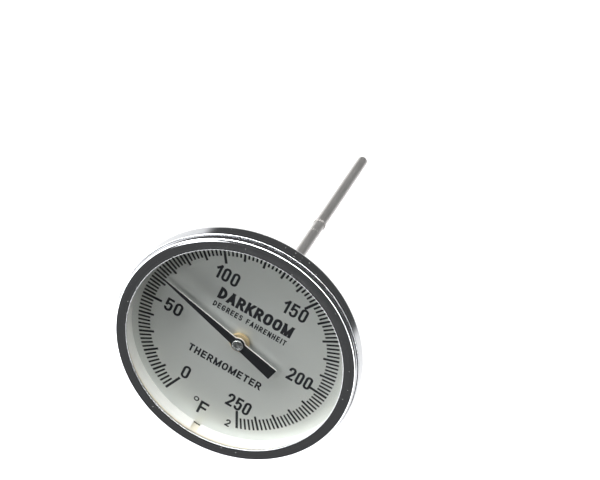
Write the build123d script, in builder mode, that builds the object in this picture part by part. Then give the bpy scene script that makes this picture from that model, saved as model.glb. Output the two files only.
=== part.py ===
from build123d import *
import math
import os

# A back-connected bimetal dial thermometer. Millimetres, +Z out of the dial, +Y at 12 o'clock.
# The origin is the centre of the flat of the case back, where the stem leaves the case.

# Case: a drawn cup with a dished back, a ledge for the dial and a neck for the bezel
case_radius = 43.0
case_wall = 0.7
shoulder_radius = 3.0
dish_depth = 3.2
dish_flat_radius = 14.0
ledge_width = 6.0
neck_step = 1.3
neck_lift = 0.8
dish_blend = 2.0

# Stack above the ledge
dial_thickness = 0.5
spacer_height = 5.0
gasket_flange = 0.5
lens_thickness = 2.0
seal_thickness = 0.2

# Radial build-up inside the neck
gasket_wall = 0.65
dial_rim_clearance = 0.1
dial_grip = 0.55
spacer_gap = 2.7
lens_chamfer = 0.3
dial_hole_radius = 1.6

# Bezel
bezel_opening_radius = 38.1
bezel_side = 0.8
bezel_lip = 0.7
bezel_shoulder = 1.7
bezel_slope = 0.65
bezel_fit = 0.05
neck_headroom = 0.15

# Stem
stem_radius = 2.15
stem_wall = 0.45
stem_length = 150.0
tip_height = 1.8
tip_round = 1.5
plug_depth = 3.2
ring_depth = 87.5
ring_height = 0.9
ring_proud = 0.35
ring_seat = 0.2
scribe_depth = 79.0
scribe_width = 0.5
scribe_cut = 0.08

# Socket that holds the stem in the case back, and its weld
socket_wall = 1.45
socket_drop = 3.0
socket_chamfer = 0.6
socket_flange = 2.4
socket_flange_height = 1.0
weld_leg = 1.0

# Spindle and its bearings
shaft_radius = 0.6
running_clearance = 0.05
bearing_length = 8.0
bearing_head = 0.35
bearing_head_overhang = 0.45
head_clearance = 0.15
guide_length = 3.0
guide_gap = 9.0
stop_collar_length = 1.6
end_float = 0.3

# Bimetal coil
coil_length = 50.0
coil_pitch = 2.5
strip_thickness = 0.18
strip_width = 1.3
anchor_length = 3.0
winding_clearance = 0.35
winding_inset = 0.15

# Pointer and what holds it on the spindle
dial_clearance = 0.3
ridge_height = 0.5
groove_height = 0.2
bush_neck_height = 0.55
bush_neck_radius = 2.2
ridge_radius = 3.5
groove_radius = 3.0
knurl_count = 24
knurl_depth = 0.28
pointer_thickness = 0.7
pointer_disc_radius = 2.5
pointer_reach = 33.5
pointer_tail = 15.4
needle_root_width = 3.1
needle_tip_width = 0.4
tail_root_width = 3.2
tail_end_width = 4.6
hub_radius = 1.95
hub_height = 0.6
hub_shank_radius = 1.1
hub_recess_radius = 1.3
hub_recess = 0.2
hub_round = 0.35

# Scale: degrees of arc either side of 12 o'clock, and the reading at rest
scale_half_sweep = 156.7
scale_top = 250.0
rest_reading = 64.5

# Levels, from the case back upwards
ledge_z = dish_depth + case_wall
dial_z = ledge_z + dial_thickness
spacer_top = dial_z + spacer_height
lens_bottom = spacer_top + gasket_flange
lens_top = lens_bottom + lens_thickness
neck_z = lens_bottom + neck_lift
neck_top = lens_top + 0.4
bezel_bottom = neck_z + seal_thickness
shoulder_z = dish_depth + shoulder_radius

# Radii, from the case wall inwards
ledge_radius = case_radius - shoulder_radius
dish_rim_radius = ledge_radius - ledge_width
neck_outer = case_radius - neck_step
neck_inner = neck_outer - case_wall
bore_radius = neck_inner - gasket_wall
dial_radius = ledge_radius - dial_rim_clearance
spacer_inner = dial_radius - dial_grip
socket_radius = stem_radius + socket_wall
weld_radius = socket_radius + weld_leg
stem_bore = stem_radius - stem_wall
bearing_bore = shaft_radius + running_clearance
bearing_head_radius = stem_radius + bearing_head_overhang
collar_radius = stem_bore - winding_clearance
coil_radius = collar_radius - winding_inset

# Levels of the moving pieces
bush_z = dial_z + dial_clearance
groove_z = bush_z + ridge_height
upper_ridge_z = groove_z + groove_height
bush_neck_z = upper_ridge_z + ridge_height
pointer_z = bush_neck_z + bush_neck_height
hub_z = pointer_z + pointer_thickness
shaft_top = hub_z + hub_height - hub_recess
stem_rise = ledge_z - head_clearance - bearing_head
bearing_bottom = stem_rise - bearing_length
stop_z = bearing_bottom - end_float
plug_z = tip_height - stem_length
anchor_z = plug_z + plug_depth
coil_z = anchor_z + anchor_length
coil_top = coil_z + coil_length
shaft_bottom = coil_top
lower_guide_z = coil_top + anchor_length + guide_gap
guide_levels = {"middle_guide": lower_guide_z / 2, "lower_guide": lower_guide_z}

# The pointer's heading, in degrees clockwise from 12 o'clock
rest_angle = rest_reading / scale_top * 2 * scale_half_sweep - scale_half_sweep

os.makedirs("parts", exist_ok=True)


def save(builder, label):
    """Labels a finished piece and writes its STEP file."""
    builder.part.label = label
    export_step(builder.part, f"parts/{label}.step")


def ring(inner, outer, bottom, top):
    """Adds a plain ring to the part under construction."""
    with BuildSketch(Plane.XY.offset(bottom)) as annulus:
        Circle(outer)
        Circle(inner, mode=Mode.SUBTRACT)
    extrude(annulus.sketch, amount=top - bottom)


# Case shell: one half-profile turned about the axis
with BuildPart() as case_shell:
    with BuildSketch(Plane.XZ) as case_profile:
        with BuildLine():
            Line((weld_radius, 0), (dish_flat_radius, 0))
            Line((dish_flat_radius, 0), (dish_rim_radius, dish_depth))
            Line((dish_rim_radius, dish_depth), (ledge_radius, dish_depth))
            RadiusArc((ledge_radius, dish_depth), (case_radius, shoulder_z), -shoulder_radius)
            Line((case_radius, shoulder_z), (case_radius, neck_z))
            Line((case_radius, neck_z), (neck_outer, neck_z))
            Line((neck_outer, neck_z), (neck_outer, neck_top))
            Line((neck_outer, neck_top), (neck_inner, neck_top))
            Line((neck_inner, neck_top), (neck_inner, neck_z - case_wall))
            Line((neck_inner, neck_z - case_wall), (case_radius - case_wall, neck_z - case_wall))
            Line((case_radius - case_wall, neck_z - case_wall), (case_radius - case_wall, shoulder_z))
            RadiusArc(
                (case_radius - case_wall, shoulder_z),
                (ledge_radius, ledge_z),
                shoulder_radius - case_wall,
            )
            Line((ledge_radius, ledge_z), (dish_rim_radius, ledge_z))
            Line((dish_rim_radius, ledge_z), (dish_flat_radius, case_wall))
            Line((dish_flat_radius, case_wall), (weld_radius, case_wall))
            Line((weld_radius, case_wall), (weld_radius, 0))
        make_face()
        dish_corners = case_profile.vertices().filter_by(
            lambda v: abs(v.X - dish_flat_radius) < 0.01 or abs(v.X - dish_rim_radius) < 0.01
        )
        fillet(dish_corners, dish_blend)
        rim_corner = case_profile.vertices().filter_by(
            lambda v: v.X > case_radius - 0.01 and v.Z > neck_z - 0.01
        )
        fillet(rim_corner, case_wall * 0.8)
    revolve(axis=Axis.Z)
save(case_shell, "case_shell")

# Seal that fills the groove between the case's step and the bezel's skirt
with BuildPart() as bezel_seal:
    ring(neck_outer, neck_outer + bezel_side * 0.7, neck_z, bezel_bottom)
save(bezel_seal, "bezel_seal")

# Bezel: skirt over the neck, rounded shoulder, and a face that slopes in to the lip
skirt_inner = neck_outer + bezel_fit
bezel_radius = skirt_inner + bezel_side
lip_top = lens_top + bezel_lip
face_top = lip_top + bezel_slope
skirt_ceiling = neck_top + neck_headroom
with BuildPart() as bezel_ring:
    with BuildSketch(Plane.XZ) as bezel_profile:
        with BuildLine():
            Polyline(
                (bezel_radius - bezel_shoulder, face_top),
                (bezel_opening_radius, lip_top),
                (bezel_opening_radius, lens_top),
                (neck_inner - bezel_side, lens_top),
                (neck_inner, skirt_ceiling),
                (skirt_inner, skirt_ceiling),
                (skirt_inner, bezel_bottom),
                (bezel_radius, bezel_bottom),
                (bezel_radius, face_top - bezel_shoulder),
            )
            RadiusArc(
                (bezel_radius, face_top - bezel_shoulder),
                (bezel_radius - bezel_shoulder, face_top),
                -bezel_shoulder,
            )
        make_face()
        lip_corner = bezel_profile.vertices().filter_by(
            lambda v: v.X < bezel_opening_radius + 0.01 and v.Z > lip_top - 0.01
        )
        fillet(lip_corner, bezel_lip * 0.4)
    revolve(axis=Axis.Z)
save(bezel_ring, "bezel_ring")

# Flat glass
with BuildPart() as lens:
    with BuildSketch(Plane.XY.offset(lens_bottom)):
        Circle(bore_radius)
    extrude(amount=lens_thickness)
    chamfer(lens.edges().filter_by(GeomType.CIRCLE), lens_chamfer)
save(lens, "lens")

# Gasket: a sleeve in the neck with a flange between the spacer and the glass
with BuildPart() as lens_gasket:
    ring(bore_radius, neck_inner, dial_z, lens_top)
    ring(spacer_inner, bore_radius, spacer_top, lens_bottom)
save(lens_gasket, "lens_gasket")

# Spacer: an open hoop that holds the dial down, with its gap at 6 o'clock
with BuildPart() as spacer_ring:
    ring(spacer_inner, bore_radius, dial_z, spacer_top)
    with Locations((0, -bore_radius, dial_z)):
        Box(
            spacer_gap,
            4 * (bore_radius - spacer_inner),
            spacer_height,
            align=(Align.CENTER, Align.CENTER, Align.MIN),
            mode=Mode.SUBTRACT,
        )
save(spacer_ring, "spacer_ring")

# Dial plate
with BuildPart() as dial_plate:
    ring(dial_hole_radius, dial_radius, ledge_z, dial_z)
save(dial_plate, "dial_plate")

# Socket through the case back
with BuildPart() as stem_socket:
    ring(stem_radius, socket_radius, -socket_drop, case_wall)
    ring(stem_radius, socket_radius + socket_flange, case_wall, case_wall + socket_flange_height)
    chamfer(stem_socket.edges().group_by(Axis.Z)[0].sort_by(SortBy.RADIUS)[-1], socket_chamfer)
save(stem_socket, "stem_socket")

# Weld that fills the hole in the case back round the socket and runs a little way down it
with BuildPart() as socket_weld:
    with BuildSketch(Plane.XZ):
        with BuildLine():
            Line((socket_radius, case_wall), (weld_radius, case_wall))
            Line((weld_radius, case_wall), (weld_radius, 0))
            RadiusArc((weld_radius, 0), (socket_radius, -weld_leg), weld_leg * 1.6)
            Line((socket_radius, -weld_leg), (socket_radius, case_wall))
        make_face()
    revolve(axis=Axis.Z)
save(socket_weld, "socket_weld")

# Stem tube, with a line scribed round it and a seat for the raised ring
with BuildPart() as stem_tube:
    ring(stem_bore, stem_radius, plug_z, stem_rise)
    for cut_depth, cut_height, cut in (
        (scribe_depth, scribe_width, scribe_cut),
        (ring_depth, ring_height, ring_seat),
    ):
        with BuildSketch(Plane.XY.offset(-cut_depth)):
            Circle(stem_radius)
            Circle(stem_radius - cut, mode=Mode.SUBTRACT)
        extrude(amount=cut_height, mode=Mode.SUBTRACT)
save(stem_tube, "stem_tube")

# Raised ring swaged into its seat round the stem
with BuildPart() as stem_ring:
    ring(stem_radius - ring_seat, stem_radius + ring_proud, -ring_depth, ring_height - ring_depth)
    outer_edges = stem_ring.edges().filter_by(GeomType.CIRCLE).group_by(SortBy.RADIUS)[-1]
    fillet(outer_edges, ring_proud * 0.7)
save(stem_ring, "stem_ring")

# Tip plug: a spigot in the tube and a rounded end
with BuildPart() as tip_plug:
    with BuildSketch(Plane.XY.offset(-stem_length)):
        Circle(stem_radius)
    extrude(amount=tip_height)
    fillet(tip_plug.edges().group_by(Axis.Z)[0], tip_round)
    with BuildSketch(Plane.XY.offset(plug_z)):
        Circle(stem_bore)
    extrude(amount=plug_depth)
save(tip_plug, "tip_plug")

# Post that the bottom turn of the coil is welded to
with BuildPart() as coil_anchor:
    with BuildSketch(Plane.XY.offset(anchor_z)):
        Circle(collar_radius)
    extrude(amount=anchor_length)
save(coil_anchor, "coil_anchor")

# Bimetal strip wound on edge into a long helix
with BuildPart() as bimetal_coil:
    with BuildLine(Plane.XY.offset(coil_z + strip_width / 2)) as coil_path:
        Helix(coil_pitch, coil_length - strip_width, coil_radius)
    with BuildSketch(Plane(coil_path.line @ 0, x_dir=(1, 0, 0), z_dir=coil_path.line % 0)):
        Rectangle(strip_thickness, strip_width)
    sweep(is_frenet=True)
save(bimetal_coil, "bimetal_coil")

# Collar on the foot of the spindle that the top turn of the coil is welded to
with BuildPart() as coil_collar:
    ring(shaft_radius, collar_radius, coil_top, coil_top + anchor_length)
save(coil_collar, "coil_collar")

# Spindle
with BuildPart() as spindle_shaft:
    with BuildSketch(Plane.XY.offset(shaft_bottom)):
        Circle(shaft_radius)
    extrude(amount=shaft_top - shaft_bottom)
save(spindle_shaft, "spindle_shaft")

# Bearing pressed into the head of the stem, with a head that seats on the tube
with BuildPart() as top_bearing:
    ring(bearing_bore, stem_bore, bearing_bottom, stem_rise)
    ring(bearing_bore, bearing_head_radius, stem_rise, stem_rise + bearing_head)
save(top_bearing, "top_bearing")

# Two guide bushes further down the stem
for guide_name, guide_z in guide_levels.items():
    with BuildPart() as guide:
        ring(bearing_bore, stem_bore, guide_z, guide_z + guide_length)
    save(guide, guide_name)

# Collar that stops the spindle from lifting
with BuildPart() as stop_collar:
    ring(shaft_radius, collar_radius, stop_z - stop_collar_length, stop_z)
save(stop_collar, "stop_collar")

# Knurled bush that grips the spindle and carries the pointer
with BuildPart() as pointer_bush:
    for level in (bush_z, upper_ridge_z):
        with BuildSketch(Plane.XY.offset(level)):
            Circle(ridge_radius)
            with PolarLocations(ridge_radius, knurl_count):
                Rectangle(knurl_depth * math.sqrt(2), knurl_depth * math.sqrt(2), 45, mode=Mode.SUBTRACT)
            Circle(shaft_radius, mode=Mode.SUBTRACT)
        extrude(amount=ridge_height)
    ring(shaft_radius, groove_radius, groove_z, upper_ridge_z)
    ring(shaft_radius, bush_neck_radius, bush_neck_z, pointer_z)
save(pointer_bush, "pointer_bush")

# Pointer: a tapered needle, a disc and a flared tail, cut from one sheet
with BuildPart() as pointer:
    with BuildSketch(Plane.XY.offset(pointer_z).rotated((0, 0, -rest_angle))):
        Circle(pointer_disc_radius)
        with BuildLine():
            Polyline(
                (-needle_root_width / 2, 0),
                (-needle_tip_width / 2, pointer_reach),
                (needle_tip_width / 2, pointer_reach),
                (needle_root_width / 2, 0),
                close=True,
            )
        make_face()
        with BuildLine():
            Polyline(
                (-tail_root_width / 2, 0),
                (-tail_end_width / 2, -pointer_tail),
                (tail_end_width / 2, -pointer_tail),
                (tail_root_width / 2, 0),
                close=True,
            )
        make_face()
        Circle(hub_shank_radius, mode=Mode.SUBTRACT)
    extrude(amount=pointer_thickness)
save(pointer, "pointer")

# Hub: a turned cap whose shank passes through the pointer
with BuildPart() as pointer_hub:
    ring(shaft_radius, hub_shank_radius, pointer_z, hub_z)
    ring(shaft_radius, hub_radius, hub_z, hub_z + hub_height)
    fillet(pointer_hub.edges().group_by(Axis.Z)[-1].sort_by(SortBy.RADIUS)[-1], hub_round)
    with BuildSketch(Plane.XY.offset(hub_z + hub_height)):
        Circle(hub_recess_radius)
    extrude(amount=-hub_recess, mode=Mode.SUBTRACT)
save(pointer_hub, "pointer_hub")
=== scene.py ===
"""Looks of a back-connected dial thermometer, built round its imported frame.

Lengths are in millimetres until a mesh is written, which is in metres. +Z comes out of
the dial and +Y is at 12 o'clock. Headings are clockwise from 12 o'clock.
"""

import functools
import logging
import math
from collections.abc import Callable
from dataclasses import dataclass
from enum import Enum

import bpy
import numpy as np
from mathutils import Matrix, Vector


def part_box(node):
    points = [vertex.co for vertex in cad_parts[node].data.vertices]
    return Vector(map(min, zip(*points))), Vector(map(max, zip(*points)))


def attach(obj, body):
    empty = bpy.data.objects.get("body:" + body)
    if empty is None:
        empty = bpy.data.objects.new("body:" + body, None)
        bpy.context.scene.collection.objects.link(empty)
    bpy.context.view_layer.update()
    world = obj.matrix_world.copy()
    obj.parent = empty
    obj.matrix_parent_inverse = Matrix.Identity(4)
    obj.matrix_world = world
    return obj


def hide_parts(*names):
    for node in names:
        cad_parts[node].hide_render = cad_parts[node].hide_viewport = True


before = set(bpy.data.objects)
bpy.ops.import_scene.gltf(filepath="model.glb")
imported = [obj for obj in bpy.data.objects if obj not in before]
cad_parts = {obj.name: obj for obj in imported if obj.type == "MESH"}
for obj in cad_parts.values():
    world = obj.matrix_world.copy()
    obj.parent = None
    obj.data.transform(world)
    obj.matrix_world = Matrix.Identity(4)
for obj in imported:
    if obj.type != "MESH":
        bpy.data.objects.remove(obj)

MM = 0.001
FULL_TURN = 2 * math.pi
CASE_BODY = "case"
MOVING_BODY = "movement"

log = logging.getLogger("dial_thermometer")
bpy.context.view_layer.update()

Colour = tuple[float, float, float, float]
Corners = list[tuple[float, float, float]]
Edges = tuple[np.ndarray, np.ndarray, bool]

# Radii of broken edges, from the keenest to the softest.
KNIFE, KEEN, FINE, CRISP, PLAIN, BROKEN, EASED, SOFT = 0.02, 0.03, 0.04, 0.05, 0.06, 0.08, 0.1, 0.12


# Node graphs


def operator(operation: str, swapped: bool = False) -> Callable[..., "Signal"]:
    """The method of an operator, which adds a Math node; swapped puts the other term first."""

    def method(self: "Signal", *others: "Signal | float") -> "Signal":
        """The operation on self and the other term."""
        terms = (self, *others)
        return self.maths(operation, *(terms[::-1] if swapped else terms))

    return method


class Signal:
    """A value in a node tree that can be used in Python expressions."""

    __add__, __radd__ = operator("ADD"), operator("ADD", True)
    __sub__, __rsub__ = operator("SUBTRACT"), operator("SUBTRACT", True)
    __mul__, __rmul__ = operator("MULTIPLY"), operator("MULTIPLY", True)
    __truediv__, __abs__ = operator("DIVIDE"), operator("ABSOLUTE")

    def __init__(self, graph: "Graph", socket: bpy.types.NodeSocket) -> None:
        """Keeps the socket and the graph that it belongs to."""
        self.graph = graph
        self.socket = socket

    def maths(self, operation: str, *terms: "Signal | float") -> "Signal":
        """Adds a Math node with these terms and returns its result."""
        return self.graph.add("ShaderNodeMath", {"operation": operation}, dict(enumerate(terms)))

    def ease(self, low: float, high: float) -> "Signal":
        """A smooth step from 0 at low to 1 at high, or down from 1 where low is above high."""
        if low > high:
            return 1 - self.ease(high, low)
        return self.graph.add(
            "ShaderNodeMapRange",
            {"interpolation_type": "SMOOTHSTEP"},
            {"Value": self, "From Min": low, "From Max": high},
        )


class Graph:
    """Builds the node tree of one material or world."""

    def __init__(self, tree: bpy.types.NodeTree) -> None:
        """Takes over an emptied node tree."""
        tree.nodes.clear()
        self.tree = tree

    def add(
        self,
        kind: str,
        settings: dict | None = None,
        values: dict | None = None,
        output: int | str = 0,
    ) -> Signal | None:
        """Adds one node.

        Args:
            kind: The node's type name.
            settings: Attributes that are set before anything is linked. "stops" fills a ramp.
            values: Plain values or signals for the node's inputs, by name or number.
            output: The output that is wanted.

        Returns:
            That output as a signal, or None for a node that ends the tree.
        """
        node = self.tree.nodes.new(kind)
        for name, value in (settings or {}).items():
            if name == "stops":
                elements = node.color_ramp.elements
                while len(elements) < len(value):
                    elements.new(0.5)
                for element, (position, colour) in zip(elements, value):
                    element.position, element.color = position, colour
            else:
                setattr(node, name, value)
        for key, value in (values or {}).items():
            if isinstance(value, Signal):
                self.tree.links.new(value.socket, node.inputs[key])
            else:
                node.inputs[key].default_value = value
        return Signal(self, node.outputs[output]) if node.outputs else None

    def place(self) -> Signal:
        """The place on the object in millimetres."""
        metres = self.add("ShaderNodeTexCoord", output="Object")
        return self.vector("SCALE", metres, Scale=1 / MM)

    def vector(self, operation: str, *terms: Signal | tuple, **named: Signal | float) -> Signal:
        """Adds a Vector Math node.

        Args:
            operation: The node's operation.
            terms: Its first, second and third vectors.
            named: Values of named inputs, such as Scale.

        Returns:
            The vector, or the number for a length or a dot product.
        """
        number = operation in ("LENGTH", "DOT_PRODUCT", "DISTANCE")
        return self.add(
            "ShaderNodeVectorMath",
            {"operation": operation},
            {**dict(enumerate(terms)), **named},
            "Value" if number else "Vector",
        )

    def axes(self, vector: Signal) -> tuple[Signal, Signal, Signal]:
        """The x, y and z parts of a vector."""
        x = self.add("ShaderNodeSeparateXYZ", values={0: vector})
        node = x.socket.node
        return x, Signal(self, node.outputs[1]), Signal(self, node.outputs[2])

    def join(self, x: Signal | float, y: Signal | float, z: Signal | float) -> Signal:
        """A vector from its three parts."""
        return self.add("ShaderNodeCombineXYZ", values={0: x, 1: y, 2: z})

    def noise(self, where: Signal, scale: float, detail: float = 2.0, rough: float = 0.5) -> Signal:
        """Smooth noise between 0 and 1, with features of about one over scale."""
        return self.add(
            "ShaderNodeTexNoise",
            None,
            {"Vector": where, "Scale": scale, "Detail": detail, "Roughness": rough},
        )

    def turned(self, where: Signal, across: float, along: float) -> Signal:
        """Noise drawn out into the fine rings that turning leaves.

        The noise is read at (radius times across plus height times across, x over radius
        times along, y over radius times along), so it changes fast across the rings and
        slowly round them, and it has no seam.

        Args:
            where: Place in millimetres.
            across: Rings per millimetre.
            along: Changes per radian round the axis.

        Returns:
            A signal between 0 and 1.
        """
        x, y, z = self.axes(where)
        radius = self.vector("LENGTH", self.join(x, y, 0.0)) + 0.001
        streaks = self.join((radius + z) * across, x / radius * along, y / radius * along)
        return self.noise(streaks, 1.0, 3.0, 0.6)

    def specks(self, where: Signal, spacing: float, size: float, share: float) -> Signal:
        """Scattered round specks, such as dust or pits.

        A speck stands at the point of each cell of a Voronoi pattern whose random value is
        under share, and fades out at its own size from that point.

        Args:
            where: Place in millimetres.
            spacing: Size of the cells in millimetres.
            size: Radius of a speck in millimetres.
            share: The part of the cells that have one.

        Returns:
            1 on a speck and 0 elsewhere.
        """
        distance = self.add(
            "ShaderNodeTexVoronoi",
            {"voronoi_dimensions": "3D"},
            {"Vector": where, "Scale": 1 / spacing},
            "Distance",
        )
        lot = Signal(self, distance.socket.node.outputs["Color"])
        chosen = self.axes(lot)[0].ease(share + 0.02, share)
        return distance.ease(size / spacing, size / spacing * 0.4) * chosen

    def blend(self, share: Signal | float, start: Signal | Colour, end: Signal | Colour) -> Signal:
        """A colour between start, at 0, and end, at 1."""
        return self.add("ShaderNodeMix", {"data_type": "RGBA"}, {0: share, 6: start, 7: end}, 2)

    def relief(self, height: Signal, depth: float) -> Signal:
        """A bumped normal, from a height between 0 and 1 and its depth in millimetres."""
        return self.add(
            "ShaderNodeBump", None, {"Height": height, "Distance": depth * MM, "Strength": 1.0}
        )

    def skin(self, **values: Signal | float | Colour) -> Signal:
        """A Principled shader; an input's underscores stand for the spaces in its name."""
        named = {name.replace("_", " "): value for name, value in values.items()}
        return self.add("ShaderNodeBsdfPrincipled", None, named)


def colour(red: float, green: float, blue: float) -> Colour:
    """An opaque colour."""
    return (red, green, blue, 1.0)


def toned(tint: Colour, factor: float) -> Colour:
    """The same tint, lighter or darker by a factor."""
    return colour(*(min(1.0, part * factor) for part in tint[:3]))


# Finishes


class Finish:
    """A surface finish that one or more pieces share."""

    name: str

    def surface(self, graph: Graph) -> Signal:
        """The finish's own shader, which each finish gives."""
        raise NotImplementedError

    @functools.cache
    def material(self) -> bpy.types.Material:
        """The finish as a material, made once."""
        material = bpy.data.materials.new(self.name)
        material.use_nodes = True
        graph = Graph(material.node_tree)
        graph.add("ShaderNodeOutputMaterial", None, {"Surface": self.surface(graph)})
        return material


@dataclass(frozen=True)
class TurnedMetal(Finish):
    """Bare metal with the fine rings of the lathe, a few specks and uneven handling marks."""

    name: str
    tint: Colour
    roughness: float
    ring_spacing: float = 0.12
    ring_strength: float = 0.12
    ring_depth: float = 0.001
    speck_share: float = 0.12
    speck_tint: Colour = (0.62, 0.62, 0.60, 1.0)
    smear: float = 0.06
    metallic: float = 1.0

    def surface(self, graph: Graph) -> Signal:
        """Rings and smears vary the roughness, and dull pale specks lie over them."""
        place = graph.place()
        rings = graph.turned(place, 1 / self.ring_spacing, 1.5)
        smears = graph.noise(place, 0.18, 4.0, 0.6)
        specks = graph.specks(place, 1.3, 0.2, self.speck_share)
        dark, light = (toned(self.tint, 1 + sign * self.ring_strength) for sign in (-1, 1))
        tone = graph.blend(specks * 0.7, graph.blend(rings, dark, light), self.speck_tint)
        rough = self.roughness + (rings - 0.5) * self.smear + (smears - 0.5) * (2 * self.smear)
        return graph.skin(
            Base_Color=tone,
            Metallic=self.metallic * (1 - specks * 0.7),
            Roughness=rough + specks * 0.3,
            Normal=graph.relief(rings, self.ring_depth),
        )


@dataclass(frozen=True)
class Scratch:
    """A straight hairline on the dial: where it starts, its heading, its length and width."""

    x: float
    y: float
    heading: float
    length: float
    width: float = 0.07


@dataclass(frozen=True)
class SatinSilver(Finish):
    """The dial's silvered satin: fine grain, hairline scratches and patches of glinting specks."""

    name: str
    tint: Colour
    roughness: float
    scratches: tuple[Scratch, ...]
    glints: tuple[tuple[float, float, float], ...]
    glint_tint: Colour = (0.95, 0.93, 0.85, 1.0)
    grain: float = 0.1
    metallic: float = 0.45

    def hairline(self, graph: Graph, place: Signal, scratch: Scratch) -> Signal:
        """1 along a scratch, fading out at its sides and ends.

        Args:
            graph: The dial's graph.
            place: Place in millimetres.
            scratch: The scratch to draw.

        Returns:
            Its mask.
        """
        along = (math.sin(scratch.heading), math.cos(scratch.heading), 0.0)
        over = (along[1], -along[0], 0.0)
        start = graph.vector("SUBTRACT", place, (scratch.x, scratch.y, 0.0))
        run = graph.vector("DOT_PRODUCT", start, along)
        off = abs(graph.vector("DOT_PRODUCT", start, over))
        ends = run.ease(0.0, 0.4 * scratch.length) * run.ease(scratch.length, 0.7 * scratch.length)
        return off.ease(scratch.width, 0.3 * scratch.width) * ends

    def surface(self, graph: Graph) -> Signal:
        """Grain varies tone and roughness; scratches and glints lie over it."""
        place = graph.place()
        x, y, _ = graph.axes(place)
        grain = graph.noise(place, 3.2, 3.0, 0.7)
        clouds = graph.noise(place, 0.05, 3.0, 0.55)
        marks = sum(self.hairline(graph, place, scratch) for scratch in self.scratches)
        patches = sum(
            graph.vector("DISTANCE", graph.join(x, y, 0.0), (u, v, 0.0)).ease(reach, 0.3 * reach)
            for u, v, reach in self.glints
        )
        glints = graph.specks(place, 0.6, 0.24, 0.5) * patches
        glints += graph.specks(place, 1.6, 0.16, 0.12) * 0.5
        tone = graph.blend(grain, toned(self.tint, 1 - self.grain), toned(self.tint, 1 + self.grain))
        tone = graph.blend(clouds, toned(self.tint, 0.94), tone)
        tone = graph.blend((marks * 0.45 + glints * 0.6).ease(0.0, 1.0), tone, self.glint_tint)
        return graph.skin(
            Base_Color=tone,
            Metallic=self.metallic,
            Roughness=self.roughness + (grain - 0.5) * 0.08 - glints * 0.15,
            Normal=graph.relief(grain, 0.002),
        )


@dataclass(frozen=True)
class PrintedInk(Finish):
    """Screen-printed ink or stoved enamel, nearly matt, with slightly uneven cover."""

    name: str
    tint: Colour
    roughness: float = 0.45
    unevenness: float = 0.35

    def surface(self, graph: Graph) -> Signal:
        """Noise moves the tone and the roughness a little."""
        place = graph.place()
        cover = graph.noise(place, 2.5, 3.0, 0.6)
        lint = graph.specks(place, 1.7, 0.09, 0.1)
        tone = graph.blend(
            cover, toned(self.tint, 1 - self.unevenness), toned(self.tint, 1 + self.unevenness)
        )
        return graph.skin(
            Base_Color=graph.blend(lint * 0.35, tone, colour(0.5, 0.5, 0.5)),
            Roughness=self.roughness + (cover - 0.5) * 0.2,
            Normal=graph.relief(cover, 0.004),
            Specular_IOR_Level=0.3,
        )


@dataclass(frozen=True)
class ClearGlass(Finish):
    """A flat pane: clear from the front, and mirroring more of the studio at a glance."""

    name: str
    index: float = 1.5
    both_faces: float = 1.8
    roughness: float = 0.03

    def surface(self, graph: Graph) -> Signal:
        """Mixes a clear and a mirroring shader by the Fresnel law on the faces that light enters."""
        wiped = graph.noise(graph.place(), 0.12, 3.0, 0.5)
        mirrored = graph.add("ShaderNodeFresnel", None, {"IOR": self.index})
        leaving = graph.add("ShaderNodeNewGeometry", output="Backfacing")
        share = mirrored * self.both_faces * (1 - leaving)
        clear = graph.add("ShaderNodeBsdfTransparent", None, {"Color": colour(0.985, 0.99, 0.985)})
        shine = graph.add(
            "ShaderNodeBsdfAnisotropic", None, {"Roughness": self.roughness + wiped * 0.05}
        )
        return graph.add("ShaderNodeMixShader", None, {0: share.ease(0.0, 1.0), 1: clear, 2: shine})


@dataclass(frozen=True)
class MouldedRubber(Finish):
    """Moulded rubber or plastic, cream or black, with a fine matt skin."""

    name: str
    tint: Colour
    shade: Colour
    roughness: float = 0.6
    translucence: float = 0.0

    def surface(self, graph: Graph) -> Signal:
        """Mottles the tone between tint and shade, with a fine bumped skin."""
        place = graph.place()
        mottle = graph.noise(place, 0.35, 4.0, 0.6)
        pores = graph.noise(place, 5.0, 2.0, 0.5)
        return graph.skin(
            Base_Color=graph.blend(mottle, self.shade, self.tint),
            Roughness=self.roughness + (pores - 0.5) * 0.15,
            Normal=graph.relief(pores, 0.006),
            Subsurface_Weight=self.translucence,
            Subsurface_Scale=MM,
        )


@dataclass(frozen=True)
class WeldBead(Finish):
    """A small weld: bright metal with a straw and blue heat tint and fine ripples."""

    name: str
    stops: tuple[tuple[float, Colour], ...] = (
        (0.0, colour(0.50, 0.50, 0.51)),
        (0.45, colour(0.55, 0.44, 0.26)),
        (0.75, colour(0.27, 0.25, 0.42)),
        (1.0, colour(0.48, 0.49, 0.52)),
    )

    def surface(self, graph: Graph) -> Signal:
        """The heat tint runs with the radius, and the ripples round the bead."""
        place = graph.place()
        x, y, _ = graph.axes(place)
        radius = graph.vector("LENGTH", graph.join(x, y, 0.0))
        waver = graph.noise(place, 0.8, 3.0, 0.5)
        heat = (radius + waver * 0.5).ease(3.6, 5.0)
        tint = graph.add("ShaderNodeValToRGB", {"stops": self.stops}, {0: heat})
        ripples = graph.noise(place, 2.4, 2.0, 0.5)
        return graph.skin(
            Base_Color=tint,
            Metallic=1.0,
            Roughness=0.35 + ripples * 0.2,
            Normal=graph.relief(ripples, 0.06),
        )


@dataclass(frozen=True)
class FloorPaper(Finish):
    """Pale seamless paper."""

    name: str
    tint: Colour

    def surface(self, graph: Graph) -> Signal:
        """Very faint fibres in a matt white."""
        fibres = graph.noise(graph.place(), 0.2, 3.0, 0.6)
        return graph.skin(
            Base_Color=graph.blend(fibres, toned(self.tint, 0.985), self.tint),
            Roughness=0.9,
            Specular_IOR_Level=0.1,
            Emission_Color=colour(1, 1, 1),
            Emission_Strength=0.2,
        )


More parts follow.
